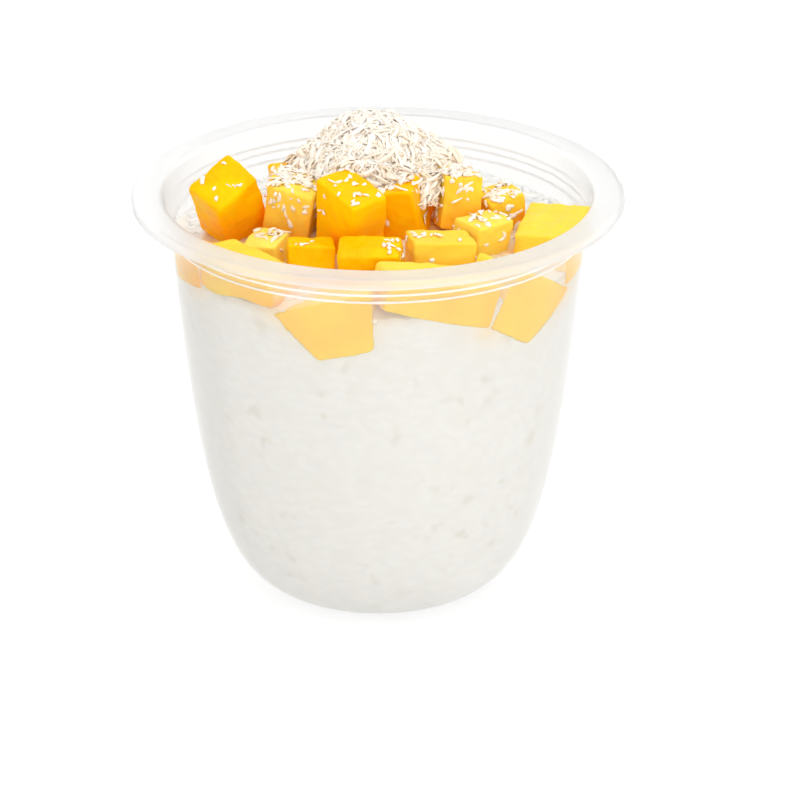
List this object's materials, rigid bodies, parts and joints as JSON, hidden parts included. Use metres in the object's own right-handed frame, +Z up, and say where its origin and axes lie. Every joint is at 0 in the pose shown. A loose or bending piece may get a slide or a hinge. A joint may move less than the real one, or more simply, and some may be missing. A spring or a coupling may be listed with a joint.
{
  "type": "mango rice pudding in a dessert cup",
  "caption": "Rice pudding in a clear plastic dessert cup, topped with mango dice and a mound of shredded coconut.",
  "frame": {"origin": "centre of the foot, on the surface that it stands on", "axes": "+Z up, -Y towards the side that the picture shows"},
  "size_m": [0.095, 0.095, 0.0951],
  "materials": {
    "cup_plastic": "clear, gloss",
    "rice_pudding": "moist, fine rice grains in it",
    "mango_flesh": "moist cut fruit",
    "coconut_shreds": "dry thin shreds"
  },
  "bodies": {
    "root": {"cup": "cup_plastic", "pudding": "rice_pudding", "coconut_heap": "coconut_shreds", "mango_back_1": "mango_flesh", "mango_back_2": "mango_flesh", "mango_back_3": "mango_flesh", "mango_back_4": "mango_flesh", "mango_back_5": "mango_flesh", "mango_left": "mango_flesh", "mango_mid_1": "mango_flesh", "mango_mid_2": "mango_flesh", "mango_mid_3": "mango_flesh", "mango_mid_4": "mango_flesh", "mango_mid_5": "mango_flesh", "mango_row_1": "mango_flesh", "mango_row_2": "mango_flesh", "mango_row_3": "mango_flesh", "mango_row_4": "mango_flesh", "mango_row_5": "mango_flesh", "mango_wall_1": "mango_flesh", "mango_wall_2": "mango_flesh", "mango_wall_3": "mango_flesh", "mango_wall_4": "mango_flesh", "mango_wall_5": "mango_flesh", "mango_wall_6": "mango_flesh"}
  },
  "joints": []
}
